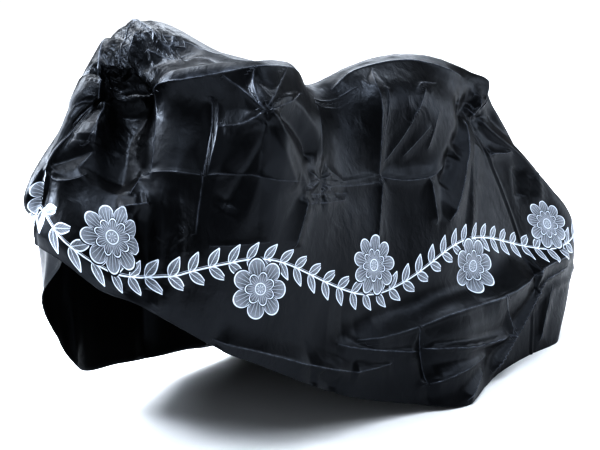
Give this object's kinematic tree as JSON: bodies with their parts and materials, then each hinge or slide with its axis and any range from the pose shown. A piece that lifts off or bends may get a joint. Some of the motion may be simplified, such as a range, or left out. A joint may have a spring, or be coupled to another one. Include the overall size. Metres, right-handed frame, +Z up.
{
  "type": "bicycle cover",
  "caption": "Open-bottomed bag of thin black glossy film, draped as over a leaning bicycle, with welded end seams, a turned hem and a pale line-drawn flower border.",
  "frame": {"origin": "the point under the top of the cover where it sits on the saddle, 0.976 m above the floor", "axes": "+X along the bicycle towards its rear, +Y across it away from the side it leans to, +Z up"},
  "size_m": [1.971, 0.7851, 1.1344],
  "materials": {
    "black_film": "thin crinkled film, semi-gloss, with fold lines from its packing and a pale grey printed border"
  },
  "bodies": {
    "root": {"cover_sheet": "black_film"}
  },
  "joints": []
}
